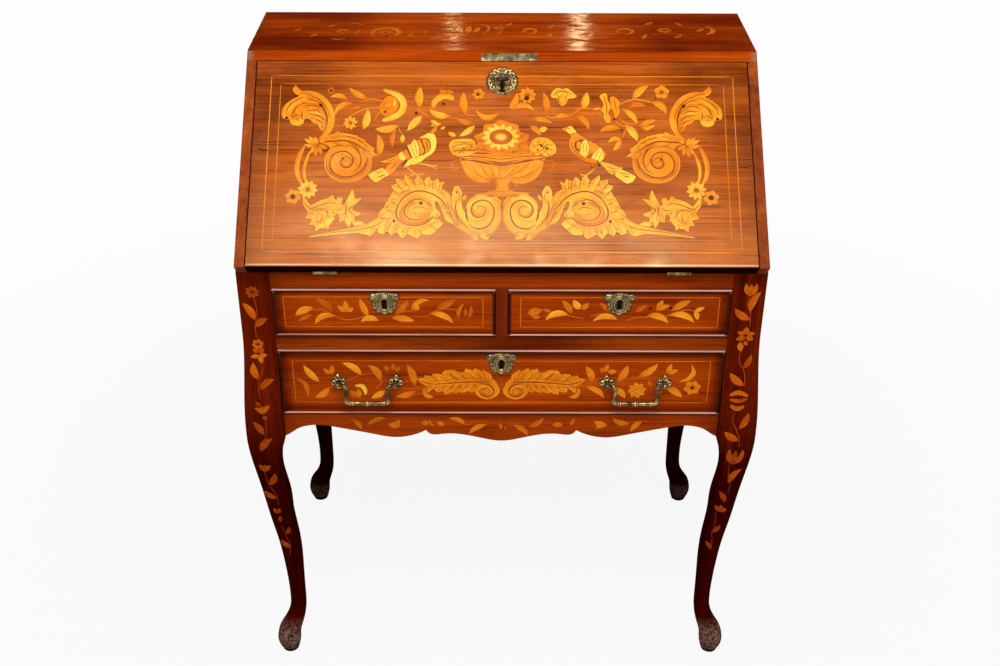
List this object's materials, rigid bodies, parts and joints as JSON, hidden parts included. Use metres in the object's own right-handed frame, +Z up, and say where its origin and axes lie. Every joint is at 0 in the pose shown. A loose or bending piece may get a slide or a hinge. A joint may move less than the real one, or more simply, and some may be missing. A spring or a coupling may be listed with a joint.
{
  "type": "escritoire",
  "caption": "Slant-front writing bureau in marquetry walnut on cabriole legs, with a hinged fall, fitted gallery, small drawers over a wide drawer, brass bails and a turning key.",
  "frame": {"origin": "centre of the bounding box, on the floor", "axes": "+Z up, +X to the right as seen from the front, front faces -Y"},
  "size_m": [0.8248, 0.4744, 1.026],
  "materials": {
    "walnut": "polished walnut veneer with floral marquetry",
    "walnut_dark": "polished dark walnut",
    "oak_lining": "plain oak",
    "brass": "aged brass",
    "iron": "dull iron",
    "leather": "tooled leather"
  },
  "bodies": {
    "case": {"side_left": "walnut", "side_right": "walnut", "top_board": "walnut", "back_boards": "oak_lining", "writing_board": "walnut", "mid_rail": "walnut", "dust_panel": "oak_lining", "drawer_divider": "walnut_dark", "drawer_guides": "oak_lining", "wide_drawer_runners": "oak_lining", "front_apron": "walnut", "rear_rail": "oak_lining", "leg_front_left": "walnut_dark", "leg_front_right": "walnut_dark", "leg_rear_left": "walnut_dark", "leg_rear_right": "walnut_dark", "fall_stop": "walnut_dark", "strike_plate": "brass", "gallery_uprights": "walnut", "gallery_shelves": "walnut", "gallery_valances": "walnut", "hinge_fixed_leaves": "brass", "hinge_pins": "iron"},
    "fall": {"fall_panel": "walnut", "fall_leather": "leather", "hinge_moving_leaves": "brass", "fall_lock_case": "iron", "fall_escutcheon": "brass"},
    "fall_bolt": {"fall_bolt": "iron"},
    "fall_key": {"fall_key": "iron"},
    "left_drawer": {"left_drawer_front": "walnut", "left_drawer_box": "oak_lining", "left_drawer_cockbead": "walnut_dark", "left_drawer_escutcheon": "brass", "left_drawer_lock_case": "iron"},
    "left_drawer_bolt": {"left_drawer_lock_bolt": "iron"},
    "right_drawer": {"right_drawer_front": "walnut", "right_drawer_box": "oak_lining", "right_drawer_cockbead": "walnut_dark", "right_drawer_escutcheon": "brass", "right_drawer_lock_case": "iron"},
    "right_drawer_bolt": {"right_drawer_lock_bolt": "iron"},
    "wide_drawer": {"wide_drawer_front": "walnut", "wide_drawer_box": "oak_lining", "wide_drawer_cockbead": "walnut_dark", "wide_drawer_escutcheon": "brass", "wide_drawer_lock_case": "iron", "bail_rosettes": "brass", "bail_nuts": "brass"},
    "wide_drawer_bolt": {"wide_drawer_lock_bolt": "iron"},
    "bail_left": {"bail_left": "brass"},
    "bail_right": {"bail_right": "brass"},
    "inner_drawer_1": {"inner_drawer_1_box": "walnut", "inner_drawer_1_knob": "brass"},
    "inner_drawer_2": {"inner_drawer_2_box": "walnut", "inner_drawer_2_knob": "brass"},
    "inner_drawer_3": {"inner_drawer_3_box": "walnut", "inner_drawer_3_knob": "brass"},
    "inner_drawer_4": {"inner_drawer_4_box": "walnut", "inner_drawer_4_knob": "brass"}
  },
  "joints": [
    {"name": "fall_hinge", "type": "hinge", "parent": "case", "child": "fall", "pos_m": [0, -0.2108, 0.768], "axis": [1, 0, 0], "range_deg": [0, 138.3]},
    {"name": "key_turn", "type": "hinge", "parent": "fall", "child": "fall_key", "pos_m": [0, 0.00021, 0.98815], "axis": [0, -0.6652, 0.7466], "range_deg": [0, 90]},
    {"name": "fall_bolt_slide", "type": "slide", "parent": "fall", "child": "fall_bolt", "axis": [0, 0.7466, 0.6652], "range_m": [0, 0.006]},
    {"name": "left_drawer_slide", "type": "slide", "parent": "case", "child": "left_drawer", "axis": [0, -1, 0], "range_m": [0, 0.28]},
    {"name": "left_drawer_bolt_slide", "type": "slide", "parent": "left_drawer", "child": "left_drawer_bolt", "axis": [0, 0, 1], "range_m": [0, 0.005]},
    {"name": "right_drawer_slide", "type": "slide", "parent": "case", "child": "right_drawer", "axis": [0, -1, 0], "range_m": [0, 0.28]},
    {"name": "right_drawer_bolt_slide", "type": "slide", "parent": "right_drawer", "child": "right_drawer_bolt", "axis": [0, 0, 1], "range_m": [0, 0.005]},
    {"name": "wide_drawer_slide", "type": "slide", "parent": "case", "child": "wide_drawer", "axis": [0, -1, 0], "range_m": [0, 0.3]},
    {"name": "wide_drawer_bolt_slide", "type": "slide", "parent": "wide_drawer", "child": "wide_drawer_bolt", "axis": [0, 0, 1], "range_m": [0, 0.005]},
    {"name": "bail_left_swing", "type": "hinge", "parent": "wide_drawer", "child": "bail_left", "pos_m": [-0.213, -0.2233, 0.571], "axis": [-1, 0, 0], "range_deg": [-10, 150]},
    {"name": "bail_right_swing", "type": "hinge", "parent": "wide_drawer", "child": "bail_right", "pos_m": [0.213, -0.2233, 0.571], "axis": [-1, 0, 0], "range_deg": [-10, 150]},
    {"name": "inner_drawer_1_slide", "type": "slide", "parent": "case", "child": "inner_drawer_1", "axis": [0, -1, 0], "range_m": [0, 0.12]},
    {"name": "inner_drawer_2_slide", "type": "slide", "parent": "case", "child": "inner_drawer_2", "axis": [0, -1, 0], "range_m": [0, 0.12]},
    {"name": "inner_drawer_3_slide", "type": "slide", "parent": "case", "child": "inner_drawer_3", "axis": [0, -1, 0], "range_m": [0, 0.12]},
    {"name": "inner_drawer_4_slide", "type": "slide", "parent": "case", "child": "inner_drawer_4", "axis": [0, -1, 0], "range_m": [0, 0.12]}
  ],
  "couplings": [
    {"joint": "fall_bolt_slide", "follows": "key_turn", "m_per_rad": 0.0038197}
  ]
}
